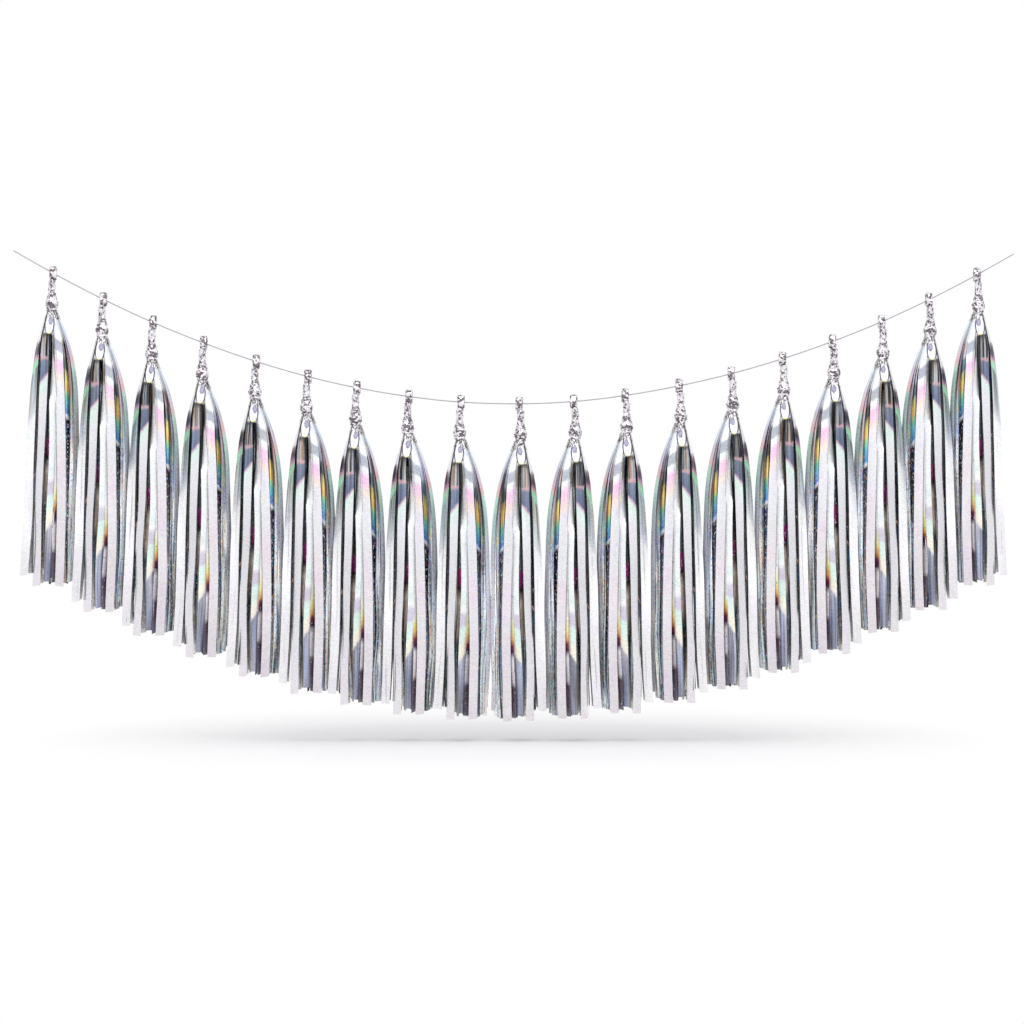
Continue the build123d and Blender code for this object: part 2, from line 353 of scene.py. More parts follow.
# The crushed film of the loops and the heads: how fine its cells are in one over metres, how far they are
# warped, and what a crease and a cell's own value add to its depth, which picks the tone. The deep tones are
# painted shade in the creases and painted reflections on the facets.
WARP_FINENESS = 500.0
WARP = 1.2 * MILLIMETRE
CELL_FINENESS = 400.0
CREASE_SHADE_SHARE = 0.7
CELL_SHADE_SHARE = 0.4
FOIL_SHADE_TONES = [(0.0, "f4f2f6"), (0.44, "ece8ec"), (0.50, "b4aeb4"), (0.56, "6c6468"), (0.68, "4c4448"),
              (0.84, "8c8488"), (1.0, "544c50")]
FOIL_TINT = 0.18
FOIL_ROUGHNESS = (0.18, 0.36)

# The twine: its tones, and how fine its lay and its fibres are in one over metres
TWINE_TONES = [(0.05, "9a94a0"), (0.35, "a8a4ae"), (0.7, "b4b0ba")]
LAY_FINENESS = 260.0
FIBRE_FINENESS = 3200.0


def linear(tone, alpha=1.0):
    """A colour written as on a screen, as the numbers that a shader takes."""
    parts = [int(tone[i : i + 2], 16) / 255 for i in (0, 2, 4)]
    return [p / 12.92 if p <= 0.04045 else ((p + 0.055) / 1.055) ** 2.4 for p in parts] + [alpha]


def level_value(values, share):
    """The smooth curve through one value for each level of the fringe."""
    levels = LEVEL_SHARES
    last = len(levels) - 1
    at = max(i for i in range(last) if levels[i] <= max(share, 0.0))
    slopes = []
    for i in (at, at + 1):
        low, high = max(i - 1, 0), min(i + 1, last)
        slopes.append((values[high] - values[low]) / (levels[high] - levels[low]))
    span = levels[at + 1] - levels[at]
    t = (share - levels[at]) / span
    return (
        values[at] * (2 * t**3 - 3 * t**2 + 1)
        + values[at + 1] * (3 * t**2 - 2 * t**3)
        + slopes[0] * span * (t**3 - 2 * t**2 + t)
        + slopes[1] * span * (t**3 - t**2)
    )


def eased(value, low, high):
    """0 below low and 1 above high, with a smooth turn between them."""
    t = min(1.0, max(0.0, (value - low) / (high - low)))
    return t * t * (3 - 2 * t)


def between(table, share):
    """The value at a share from a table of (share, value), smooth from each entry to the next."""
    for (low, first), (high, second) in zip(table, table[1:]):
        if share <= high:
            return first + (second - first) * eased(share, low, high)
    return table[-1][1]


# Shaders


def fill(tree, node, **inputs):
    """A node's inputs, by name or number, each set to a value or linked to another node's output."""
    for name, value in inputs.items():
        socket = node.inputs[int(name[1:])] if name[0] == "_" else node.inputs[name.replace("_", " ")]
        if isinstance(value, bpy.types.NodeSocket):
            tree.links.new(value, socket)
        else:
            socket.default_value = value


def add(tree, kind, settings=(), **inputs):
    """A new shader node, with its settings and its inputs."""
    made = tree.nodes.new(kind)
    for name, value in dict(settings).items():
        setattr(made, name, value)
    fill(tree, made, **inputs)
    return made


def maths(tree, operation, first, second=0.0):
    """A sum, a product or the like of two values."""
    return add(tree, "ShaderNodeMath", {"operation": operation}, _0=first, _1=second).outputs[0]


def ranged(tree, value, low, high, to_low=0.0, to_high=1.0):
    """A value mapped from one range to another, and kept inside it."""
    made = add(tree, "ShaderNodeMapRange", _0=value, _1=low, _2=high, _3=to_low, _4=to_high)
    return made.outputs[0]


def mixed(tree, share, first, second, blend="MIX"):
    """Two colours mixed."""
    settings = {"data_type": "RGBA", "blend_type": blend}
    return add(tree, "ShaderNodeMix", settings, _0=share, _6=first, _7=second).outputs[2]


def tinted(tree, share, colour, tint):
    """A colour multiplied by a tint, by this share."""
    return mixed(tree, share, colour, mixed(tree, 1.0, colour, tint, "MULTIPLY"))


def grey(tree, value):
    """A grey of this value."""
    return add(tree, "ShaderNodeCombineColor", _0=value, _1=value, _2=value).outputs[0]


def ramp(tree, share, stops, interpolation="LINEAR"):
    """A run of colours, each at its place, and the run of the third values that the stops may have."""
    made = add(tree, "ShaderNodeValToRGB", Fac=share)
    made.color_ramp.interpolation = interpolation
    elements = made.color_ramp.elements
    while len(elements) < len(stops):
        elements.new(1.0)
    for element, (place, tone, *third) in zip(elements, stops):
        element.position = place
        element.color = linear(tone, *(third or [0.0]))
    return made.outputs


def noise_of(tree, places, scale, detail=2.0):
    """Smooth noise from 0 to 1."""
    return add(tree, "ShaderNodeTexNoise", Vector=places, Scale=scale, Detail=detail).outputs[0]


def scaled(tree, places, across, along):
    """Places on a strip, stretched so that a pattern is finer across it or along it."""
    return add(tree, "ShaderNodeMapping", Vector=places, Scale=(across, along, 1.0)).outputs[0]


def stretched_noise(tree, places, across, along, detail=1.0):
    """Noise with these finenesses across a strip and along it."""
    return noise_of(tree, scaled(tree, places, across, along), 1.0, detail)


def spread(tree, value, low=0.0, high=1.0):
    """Noise spread out from low to high."""
    return ranged(tree, value, *NOISE_SPAN, low, high)


def material(name):
    """A new material, its node tree and its surface shader."""
    made = bpy.data.materials.new(name)
    made.use_nodes = True
    return made, made.node_tree, made.node_tree.nodes["Principled BSDF"]


def bumped(tree, height, strength, distance):
    """The directions of a surface that stands out by this height."""
    return add(tree, "ShaderNodeBump", Height=height, Strength=strength, Distance=distance).outputs[0]


def attribute(tree, name):
    """A value that the mesh gives for each of its points."""
    return add(tree, "ShaderNodeAttribute", {"attribute_name": name}).outputs["Fac"]


def strip_places(tree):
    """Places on a strip in millimetres, with each strip in its own part of the patterns."""
    across = maths(tree, "MULTIPLY", attribute(tree, "across"), STRIP_WIDTH / MILLIMETRE)
    apart = maths(tree, "MULTIPLY", attribute(tree, "number"), PATTERN_SHIFT)
    return add(tree, "ShaderNodeCombineXYZ", X=across, Y=attribute(tree, "down"), Z=apart).outputs[0]


def crushed_facet_shades(tree, places):
    """The painted shade and reflections of crushed film's facets."""
    return ramp(tree, noise_of(tree, places, FACET_FINENESS, 1.0), FACET_SHADES)[0]


def glittering(tree, colour, places, along, amount):
    """A colour with glitter on it: some of its cells, picked by chance, from the bell's foot down."""
    cell_looks = {"feature": "F1", "distance": "CHEBYCHEV"}
    cell_places = scaled(tree, places, *GLITTER_FINENESS)
    cells = add(tree, "ShaderNodeTexVoronoi", cell_looks, Vector=cell_places, Scale=1.0)
    picked = add(tree, "ShaderNodeSeparateColor", _0=cells.outputs["Color"]).outputs
    inside = ranged(tree, cells.outputs["Distance"], *GLITTER_CELL_SPAN)
    least = 1.0 - GLITTER_CHANCE * amount
    chosen = ranged(tree, picked[0], least, least + GLITTER_SOFTNESS)
    where = ranged(tree, along, *GLITTER_SPAN)
    fleck = maths(tree, "MULTIPLY", maths(tree, "MULTIPLY", inside, chosen), where)
    sparks = ramp(tree, picked[1], GLITTER, "CONSTANT")[0]
    return mixed(tree, maths(tree, "MULTIPLY", fleck, GLITTER_STRENGTH), colour, sparks)


def film(name, tones, gloss, streak_fineness, slants, band, tint, glitter):
    """Iridescent film: colours down the strip, with painted shade and reflections, and finer patterns on
    them.
    """
    made, tree, shader = material(name)
    along, across = attribute(tree, "along"), attribute(tree, "across")
    places = strip_places(tree)

    # The colours, with painted shade and reflections, and borders that are ragged and slant across the strip
    slant, *slant_span = slants
    ragged = noise_of(tree, places, BORDER_FINENESS)
    ragged = spread(tree, ragged, -BORDER_RAGGEDNESS, BORDER_RAGGEDNESS)
    sideways = maths(tree, "SUBTRACT", across, 0.5)
    slanted = maths(tree, "MULTIPLY", sideways, ranged(tree, along, *slant_span))
    slanted = maths(tree, "MULTIPLY", slanted, slant)
    level = maths(tree, "SUBTRACT", maths(tree, "ADD", along, ragged), slanted)
    colour, streaked = ramp(tree, level, tones)[:2]

    # The streaks, painted reflections, in tints of their own
    fine = stretched_noise(tree, places, streak_fineness, STREAK_FINENESS_ALONG)
    reflection_streaks = maths(tree, "MULTIPLY", ranged(tree, fine, *STREAK_NOISE_SPAN, -1.0, 1.0), streaked)
    fineness = STREAK_TINT_SHARE * streak_fineness
    broad = stretched_noise(tree, places, fineness, STREAK_TINT_FINENESS_ALONG)
    colour = tinted(tree, streaked, colour, ramp(tree, broad, REFLECTION_STREAK_TINTS)[0])

    # The light and dark of the streaks, which are painted reflections, of the bands, which are stronger lower
    # down, and of the grain
    bands = spread(tree, stretched_noise(tree, places, *BAND_FINENESS))
    strength = ranged(tree, along, *BAND_SPAN, BAND_TOP_SHARE * band, band)
    banded = maths(tree, "MULTIPLY", maths(tree, "SUBTRACT", bands, 0.5), strength)
    light = maths(tree, "ADD", maths(tree, "ADD", 1.0, reflection_streaks), banded)
    grain = spread(tree, noise_of(tree, places, GRAIN_FINENESS), *GRAIN_LIGHTS)
    light = maths(tree, "MULTIPLY", light, grain)
    colour = mixed(tree, 1.0, colour, grey(tree, light), "MULTIPLY")

    # The shifting tints, the glitter, and the painted shade and reflections of the crushed facets at the knot
    shifting = stretched_noise(tree, places, *TINT_FINENESS, 2.0)
    colour = tinted(tree, tint, colour, ramp(tree, shifting, TINTS)[0])
    if glitter > 0:
        colour = glittering(tree, colour, places, along, glitter)
    crushed = maths(tree, "ADD", along, maths(tree, "MULTIPLY", ragged, CRUSHED_RAGGEDNESS))
    colour = mixed(tree, ranged(tree, crushed, *CRUSHED_SPAN), colour, crushed_facet_shades(tree, places))

    rough = ranged(tree, bands, 0.0, 1.0, *FILM_ROUGHNESS)
    normal = bumped(tree, grain, strength=0.2, distance=0.2 * MILLIMETRE)
    fill(tree, shader, Metallic=FILM_METALLIC_SHARE * gloss, Specular_IOR_Level=gloss)
    fill(tree, shader, Base_Color=colour, Roughness=rough, Normal=normal)
    return made


def petal_film():
    """The petal's film: white, with a lavender blot on it and a yellow-green lip."""
    made, tree, shader = material("petal")
    along, across = attribute(tree, "along"), attribute(tree, "across")
    places = strip_places(tree)
    crushed = ranged(tree, along, *PETAL_CRUSHED_SPAN)
    colour = mixed(tree, crushed, ramp(tree, along, PETAL_TONES)[0], crushed_facet_shades(tree, places))

    # The blot, by the square of the distance from its middle
    squares = []
    for value, middle, size in zip((across, along), BLOT_MIDDLE, BLOT_SIZE):
        away = maths(tree, "MULTIPLY", maths(tree, "SUBTRACT", value, middle), 1 / size)
        squares.append(maths(tree, "POWER", away, 2.0))
    ragged = spread(tree, noise_of(tree, places, BLOT_FINENESS), -BLOT_RAGGEDNESS, BLOT_RAGGEDNESS)
    distance = maths(tree, "ADD", maths(tree, "ADD", *squares), ragged)
    darker = ranged(tree, distance, *BLOT_DARK_SPAN)
    blot = mixed(tree, darker, linear(BLOT_TONE), linear(BLOT_DARK_TONE))
    colour = mixed(tree, ranged(tree, distance, *BLOT_EDGE_SPAN), colour, blot)

    # The lines down its sides, painted shade on its turned edges
    side = maths(tree, "ABSOLUTE", maths(tree, "SUBTRACT", across, 0.5))
    line = ranged(tree, side, *LINE_SIDE_SPAN)
    for span in (LINE_START_SPAN, LINE_END_SPAN):
        line = maths(tree, "MULTIPLY", line, ranged(tree, along, *span))
    colour = mixed(tree, line, colour, linear(EDGE_SHADE_TONE))

    rough = spread(tree, noise_of(tree, places, PETAL_ROUGHNESS_FINENESS), *PETAL_ROUGHNESS)
    fill(tree, shader, Base_Color=colour, Metallic=0.3, Roughness=rough)
    return made


def crinkled_foil():
    """The crushed film of loops and heads: small facets, the deep ones with painted shade and reflections."""
    made, tree, shader = material("crinkled_foil")
    places = add(tree, "ShaderNodeTexCoord").outputs["Object"]
    warp = add(tree, "ShaderNodeTexNoise", Vector=places, Scale=WARP_FINENESS, Detail=1.0)
    warped = mixed(tree, WARP, places, warp.outputs["Color"], "ADD")
    cells = add(tree, "ShaderNodeTexVoronoi", {"feature": "F1"}, Vector=warped, Scale=CELL_FINENESS)
    picked = add(tree, "ShaderNodeSeparateColor", _0=cells.outputs["Color"]).outputs
    # Painted shade in the creases and painted reflections by each cell's own value pick the tone
    shaded_crease = maths(tree, "MULTIPLY", attribute(tree, "crease_shade"), CREASE_SHADE_SHARE)
    depth = maths(tree, "ADD", shaded_crease, maths(tree, "MULTIPLY", picked[0], CELL_SHADE_SHARE))
    tints = ramp(tree, picked[1], TINTS)[0]
    colour = tinted(tree, FOIL_TINT, ramp(tree, depth, FOIL_SHADE_TONES)[0], tints)
    rough = ranged(tree, picked[2], 0.0, 1.0, *FOIL_ROUGHNESS)
    normal = bumped(tree, cells.outputs["Distance"], strength=0.5, distance=0.5 * MILLIMETRE)
    fill(tree, shader, Base_Color=colour, Metallic=0.6, Roughness=rough, Normal=normal)
    return made


def twine():
    """Fine pale twine, with its lay running round it."""
    made, tree, shader = material("twine")
    places = add(tree, "ShaderNodeTexCoord").outputs["Object"]
    bands = {"wave_type": "BANDS", "bands_direction": "DIAGONAL"}
    waves = {"Scale": LAY_FINENESS, "Distortion": 1.5, "Detail": 2.0}
    lay = add(tree, "ShaderNodeTexWave", bands, Vector=places, **waves).outputs["Fac"]
    fibres = noise_of(tree, places, FIBRE_FINENESS)
    colour = ramp(tree, maths(tree, "MULTIPLY", lay, fibres), TWINE_TONES)[0]
    normal = bumped(tree, lay, strength=0.5, distance=0.1 * MILLIMETRE)
    fill(tree, shader, Base_Color=colour, Roughness=0.75, Sheen_Weight=0.1, Normal=normal)
    return made


# Meshes and objects

# Edges that turn more than this stay sharp
FRINGE_SHARP_ANGLE = math.radians(50)
FOIL_SHARP_ANGLE = math.radians(32)


def new_mesh(name, points, faces, films, values, sharp_angle):
    """A smooth mesh with sharp folds, with a film for each face and the shaders' values for each point."""
    film_names = sorted(set(films))
    made = bpy.data.meshes.new(name)
    made.from_pydata(points, [], faces)
    for film_name in film_names:
        made.materials.append(materials[film_name])
    made.polygons.foreach_set("material_index", [film_names.index(film_name) for film_name in films])
    for value_name, numbers in values.items():
        made.attributes.new(value_name, "FLOAT", "POINT").data.foreach_set("value", numbers)
    made.shade_smooth()
    made.set_sharp_from_angle(angle=sharp_angle)
    made.update()
    return made


def placed(name, data):
    """A new object in the scene."""
    made = bpy.data.objects.new(name, data)
    bpy.context.scene.collection.objects.link(made)
    return made


def shown(name, mesh, body, slot, *nodes):
    """A piece that shows the mesh, rides on a body and stands for CAD nodes."""
    made = placed(name, mesh)
    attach(made, body)
    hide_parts(*nodes)
    return made


# The fringes


def at_all_levels(value):
    """The same value at each level of the fringe."""
    return [value] * len(LEVEL_SHARES)


class Fringe:
    """The strips of one fringe, gathered into one mesh.

    They are laid out for a tassel on the left, whose side is 1, as seen from the front. They are mirrored
    for one on the right, whose side is -1, and for the back.
    """

    def __init__(self, number, top, side, length):
        outermost = 1 if side > 0 else TASSEL_COUNT
        middle = LAST_LEFT_TASSEL if side > 0 else LAST_LEFT_TASSEL + 1
        nearness = (number - outermost) / (middle - outermost)
        extra = OUTERMOST_EXTRA[side] + (MIDDLE_EXTRA - OUTERMOST_EXTRA[side]) * eased(nearness, *EXTRA_SPAN)
        self.name = f"tassel_{number:02d}_fringe_film"
        self.top = top
        self.side = side
        self.length = length + extra
        self.upright = 1 - OUTERMOST_LEAN_SHARES[side] * (1 - nearness)
        self.dice = random.Random(number)
        self.points = []
        self.faces = []
        self.films = []
        self.values = {"along": [], "across": [], "down": [], "number": []}

    def crossing(self, depth_share, run, facing_shares, share):
        """Where a strip is at a level: its middle, the way across it, and its half width."""
        half = level_value(HALF_WIDTH_SHARES, share)
        place = level_value(run, share)
        lean = level_value(MIDDLE_SHARES, share)
        lean += self.upright * (STRAIGHTER_TOP_SHARE + STRAIGHTER_TIP_SHARE * share)
        reach = depth_share * SKIRT_HALF_DEPTH * half * math.sqrt(max(0.0, 1 - place * place))
        turn = math.acos(min(1.0, max(0.0, level_value(facing_shares, share))))
        across = Vector((math.cos(turn), math.copysign(math.sin(turn), place), 0))
        gathered = GATHERED_SHARE + (1 - GATHERED_SHARE) * eased(share, 0.0, OPENED_SHARE)
        middle = Vector((SKIRT_HALF_WIDTH * (lean + place * half), -reach, -share * self.length))
        return middle, across, gathered * STRIP_WIDTH / 2

    def band(self, rows, film_name, back):
        """A closed band through rows of three points, each row with the way it faces and its share down."""
        first = len(self.points)
        mirrored = Vector((self.side, -1 if back else 1, 1))
        number = self.dice.random()
        for row, outward, along in rows:
            thick = outward * (STRIP_THICKNESS / 2)
            front = [(point + thick, across) for point, across in zip(row, ACROSS_SHARES)]
            behind = [(point - thick, across) for point, across in zip(row, ACROSS_SHARES)]
            for point, across in front + behind[::-1]:
                self.points.append(self.top + point * mirrored)
                self.values["along"].append(along)
                self.values["across"].append(across)
                self.values["down"].append(-point.z / MILLIMETRE)
                self.values["number"].append(number)
        faces = []
        last = first + ROW_POINTS * (len(rows) - 1)
        for upper in range(first, last, ROW_POINTS):
            lower = upper + ROW_POINTS
            for corner in range(ROW_POINTS):
                after = (corner + 1) % ROW_POINTS
                faces.append((upper + corner, lower + corner, lower + after, upper + after))
        # Two faces close each end
        for a, b, c, d in [(0, 1, 4, 5), (1, 2, 3, 4)]:
            faces.append((first + a, first + b, first + c, first + d))
            faces.append((last + d, last + c, last + b, last + a))
        if (self.side < 0) != back:
            faces = [face[::-1] for face in faces]
        self.faces += faces
        self.films += [film_name] * len(faces)

    def strip(self, film_name, depth_share, run, facing_shares, tip_share, back):
        """One strip: it leaves the knot's foot, follows the bell and hangs to its tip."""
        dice = self.dice
        run = [place * (BACK_SHARE if back else 1) for place in run]
        sway = dice.uniform(-1, 1) * STRIP_SWAY
        waves = dice.uniform(*WAVE_SPREAD)
        phase = dice.uniform(0, math.tau)
        crown = STRIP_CROWN * dice.uniform(*CROWN_SPREAD) * dice.choice([-1, 1])
        slant = dice.uniform(-1, 1) * CUT_SLANT
        end = tip_share + dice.uniform(*CUT_SPREAD)
        rows = []
        for step in range(STRIP_STEPS + 1):
            share = end * (step / STRIP_STEPS) ** STEP_POWER
            middle, across, half_width = self.crossing(depth_share, run, facing_shares, min(share, 1.0))
            outward = Vector((across.y, -across.x, 0))
            bend = math.sin(phase + waves * math.tau * share) * eased(share, *WAVE_SPAN)
            middle += Vector((sway * bend, 0, 0)) + outward * (STRIP_WAVE * bend)
            edge = across * half_width + Vector((0, 0, slant if step == STRIP_STEPS else 0))
            crowned = middle + outward * (crown * eased(share, *CROWN_SPAN))
            rows.append(([middle - edge, crowned, middle + edge], outward, share))
        self.band(rows, film_name, back)

    def petal(self, back):
        """The petal folded out under the knot: a small leaf that ends in a round lip."""
        start, end = PETAL_LEVEL_SHARES
        arch_start, arch_end = PETAL_ARCH_SPAN
        run, facing_shares = at_all_levels(PETAL_PLACE_SHARE), at_all_levels(1.0)
        rows = []
        for step in range(PETAL_STEPS + 1):
            t = step / PETAL_STEPS
            share = start + (end - start) * t
            middle = self.crossing(PETAL_DEPTH_SHARE, run, facing_shares, share)[0]
            widened = PETAL_ROOT_SHARE + (1 - PETAL_ROOT_SHARE) * eased(t, *PETAL_WIDENING_SPAN)
            rounded = math.sqrt(max(PETAL_LIP_LEAST, 1 - t**PETAL_LIP_POWER))
            lift = PETAL_CROWN * math.sin(math.pi * (arch_start + (arch_end - arch_start) * t))
            middle.y -= PETAL_STAND_OFF
            edge = Vector((PETAL_WIDTH / 2 * widened * rounded, 0, 0))
            row = [middle - edge, middle - Vector((0, lift, 0)), middle + edge]
            rows.append((row, Vector((0, -1, 0)), t))
        self.band(rows, "petal", back)

    def mesh(self):
        """The mesh of all strips: those round the front and the back, and those inside."""
        inner_facing_shares = at_all_levels(INNER_FACING_SHARE)
        for back in (False, True):
            for strip in STRIPS:
                self.strip(*strip, back)
            self.petal(back)
            for depth_share, count in INNER_ROWS:
                for i in range(count):
                    at = (i + 0.5 + self.dice.uniform(*INNER_STRAY_SPREAD)) / count
                    run = [low + (high - low) * at for low, high in INNER_SPANS]
                    tip_share = self.dice.uniform(*INNER_TIP_SPREAD)
                    film_name = self.dice.choice(INNER_FILMS)
                    self.strip(film_name, depth_share, run, inner_facing_shares, tip_share, back)
        return new_mesh(self.name, self.points, self.faces, self.films, self.values, FRINGE_SHARP_ANGLE)


# The loops, the heads and whole tassels

# How crushed film folds: in ridges, and in finer ones at a share of their size, from elsewhere in the noise
RIDGE_STRENGTH = 1.5
FINE_STRENGTH = 0.7
FINE_SHARE = 0.45
FINE_SHIFT = Vector((7, 3, 5))

# How square the loop's section is, and how many strands a rope of film has
SQUARENESS_POWER = 0.55
STRANDS = 3

# The loop: how often its strands twist on the way round, how deep they and the crushing press in, and how
# dark the painted shade in the grooves and creases makes it. The noise is read on a ring of its own, which is
# shifted for each tassel.
LOOP_STEPS = 64
LOOP_SIDES = 24
LOOP_THROAT = 2.6 * MILLIMETRE
LOOP_TWISTS = 5
LOOP_WIDTH_SHARE = 1.08
LOOP_STRAND_DEPTH = 0.08
LOOP_CRUSH_DEPTH = 0.12
LOOP_STRAND_SHADE = 0.1
LOOP_CRUSH_SHADE = 0.8
LOOP_FACET = 2.0 * MILLIMETRE
LOOP_PATTERN_RADIUS = 4 * MILLIMETRE
LOOP_PATTERN_SHIFT = 3

# The head, by shares of its height: how wide it is as a share of the knot's greatest radius in the frame,
# and how strongly it is crushed
HEAD_SHARES = [(0.0, 0.68), (0.12, 0.67), (0.37, 0.64), (0.45, 0.72), (0.57, 0.90), (0.645, 0.94),
               (0.755, 1.18), (0.855, 1.13), (0.94, 0.96), (1.0, 0.98)]
HEAD_CRUSH_SHARES = [(0.0, 0.6), (0.36, 0.65), (0.44, 0.95), (0.60, 0.95), (0.64, 0.6), (0.70, 0.65),
                     (0.75, 0.95), (0.90, 1.0), (0.95, 0.6), (1.0, 1.1)]
HEAD_STEPS = 72
HEAD_SIDES = 36
HEAD_STRAND_DEPTH = 0.10
HEAD_CRUSH_DEPTH = 0.14
HEAD_TWIST = 9.5
HEAD_PATTERN_RADIUS = 5.5 * MILLIMETRE
HEAD_PATTERN_LENGTH = 5.4
HEAD_PATTERN_SHIFT = 5
SADDLE_GAP = 0.4 * MILLIMETRE

# The neck turns into the knot, which is less twisted and has larger facets. At the saddle the neck is
# deeper than it is wide.
NECK_END_SPAN = (0.36, 0.55)
NECK_FACET = 2.2 * MILLIMETRE
KNOT_FACET = 3.2 * MILLIMETRE
KNOT_STRAND_SHARE = 0.25
NECK_DEPTH_SHARE = 1.5
NECK_DEEPER_SPAN = (0.0, 0.30)


def foil_skin(name, rings, crease_shades, closed):
    """A skin of crushed film over rings of points. A closed one ends where it began, and another has caps."""
    count = len(rings[0])
    points = [p for ring in rings for p in ring]
    faces = []
    for row in range(len(rings) if closed else len(rings) - 1):
        a, b = row * count, (row + 1) % len(rings) * count
        for i in range(count):
            j = (i + 1) % count
            faces.append((a + i, b + i, b + j, a + j))
    if not closed:
        # The upper cap runs straight across from side to side, so that it follows a saddle's hollow
        for i in range(-(count // 4), count // 4):
            across = [i, i + 1, count // 2 - i - 1, count // 2 - i]
            faces.append(tuple(dict.fromkeys(corner % count for corner in across)))
        faces.append(tuple(range(len(points) - 1, len(points) - count - 1, -1)))
    films = ["crinkled_foil"] * len(faces)
    return new_mesh(name, points, faces, films, {"crease_shade": crease_shades}, FOIL_SHARP_ANGLE)


def give_way(piece):
    """A fringe that slides against its neighbour gets a mesh of its own."""
    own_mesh(piece)


def crinkle(place, size):
    """0 to 1: how far crushed film is pressed in at a place, in facets of about that size."""
    ridge = abs(noise.noise(place / size))
    fine = abs(noise.noise(place / (FINE_SHARE * size) + FINE_SHIFT))
    return min(1.0, RIDGE_STRENGTH * ridge + FINE_STRENGTH * fine)


def groove(angle):
    """0 to 1: how deep a rope's surface lies, with a strand at each whole turn of the angle."""
    return 0.5 - 0.5 * math.cos(angle)


def squared(value):
    """A sine or cosine pushed towards 1 or -1, which makes a round section squarer."""
    return math.copysign(abs(value) ** SQUARENESS_POWER, value)


def loop_foil(number, hinge, half_width, outer_radius):
    """The loop over the string: film twisted into a rope and bent into a ring round the X axis."""
    band = (outer_radius - LOOP_THROAT) / 2
    rings, crease_shades = [], []
    for step in range(LOOP_STEPS):
        turn = math.tau * step / LOOP_STEPS
        ring = []
        for corner in range(LOOP_SIDES):
            angle = math.tau * corner / LOOP_SIDES
            rope = groove(STRANDS * angle + LOOP_TWISTS * turn)
            at = Vector((math.cos(angle), math.sin(turn), math.cos(turn))) * LOOP_PATTERN_RADIUS
            pressed = crinkle(at + hinge * LOOP_PATTERN_SHIFT, LOOP_FACET)
            shrink = 1 - LOOP_STRAND_DEPTH * rope - LOOP_CRUSH_DEPTH * pressed
            x = LOOP_WIDTH_SHARE * half_width * squared(math.cos(angle)) * shrink
            radius = outer_radius - band + band * squared(math.sin(angle)) * shrink
            ring.append(hinge + Vector((x, radius * math.sin(turn), radius * math.cos(turn))))
            # Painted shade where the film is crushed and in the grooves between the strands
            crease_shades.append(LOOP_CRUSH_SHADE * pressed + LOOP_STRAND_SHADE * rope)
        rings.append(ring)
    return foil_skin(f"tassel_{number:02d}_loop_foil", rings, crease_shades, True)


def head_foil(number, hinge, side, saddle_radius, low, high):
    """The neck, twisted like a rope, and the knot under it, with folds that run down into the fringe."""
    knot_radius = (high.x - low.x) / 2
    axis_x = (low.x + high.x) / 2
    foot = low.z - FRINGE_DROP
    rings, crease_shades = [], []
    for step in range(HEAD_STEPS + 1):
        share = step / HEAD_STEPS
        crush = between(HEAD_CRUSH_SHARES, share)
        neck = 1 - eased(share, *NECK_END_SPAN)
        facet = NECK_FACET + (KNOT_FACET - NECK_FACET) * (1 - neck)
        twisting = HEAD_STRAND_DEPTH * (KNOT_STRAND_SHARE + (1 - KNOT_STRAND_SHARE) * neck)
        deeper = 1 + (NECK_DEPTH_SHARE - 1) * (1 - eased(share, *NECK_DEEPER_SPAN))
        ring = []
        for corner in range(HEAD_SIDES):
            angle = math.tau * corner / HEAD_SIDES
            rope = groove(STRANDS * (angle * side + HEAD_TWIST * share))
            at = Vector((math.cos(angle), math.sin(angle), HEAD_PATTERN_LENGTH * share))
            pressed = crinkle(at * HEAD_PATTERN_RADIUS + hinge * HEAD_PATTERN_SHIFT, facet)
            radius = knot_radius * between(HEAD_SHARES, share)
            radius *= 1 - twisting * rope - HEAD_CRUSH_DEPTH * pressed * crush
            x, y = radius * math.cos(angle), radius * deeper * math.sin(angle)
            top = hinge.z - math.sqrt(max(0.0, saddle_radius**2 - y * y))
            ring.append(Vector((axis_x + x, hinge.y + y, top + (foot - top) * share)))
            # Painted shade where the film is crushed
            crease_shades.append(pressed * crush)
        rings.append(ring)
    return foil_skin(f"tassel_{number:02d}_head_foil", rings, crease_shades, False)


def make_tassel(number):
    """One tassel: its loop, its head and its fringe, each built round its node in the frame."""
    name = f"tassel_{number:02d}"
    loop_low, loop_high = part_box(f"{name}_loop")
    head_low, head_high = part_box(f"{name}_head")
    fringe_low, fringe_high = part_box(f"{name}_fringe")
    hinge = (loop_low + loop_high) / 2
    side = 1 if number <= LAST_LEFT_TASSEL else -1
    loop_radius = (loop_high.z - loop_low.z) / 2
    loop_mesh = loop_foil(number, hinge, (loop_high.x - loop_low.x) / 2, loop_radius)
    shown(f"{name}_loop_foil", loop_mesh, f"loop_{number:02d}", "foil", f"{name}_loop")
    head_mesh = head_foil(number, hinge, side, loop_radius + SADDLE_GAP, head_low, head_high)
    shown(f"{name}_head_foil", head_mesh, name, "foil", f"{name}_head")
    fringe_top = Vector((hinge.x, hinge.y, fringe_high.z - FRINGE_DROP))
    fringe = Fringe(number, fringe_top, side, fringe_high.z - fringe_low.z)
    fringe_piece = shown(f"{name}_fringe_film", fringe.mesh(), name, "foil", f"{name}_fringe")
    if 1 < number < TASSEL_COUNT:
        give_way(fringe_piece)


# The camera and the string


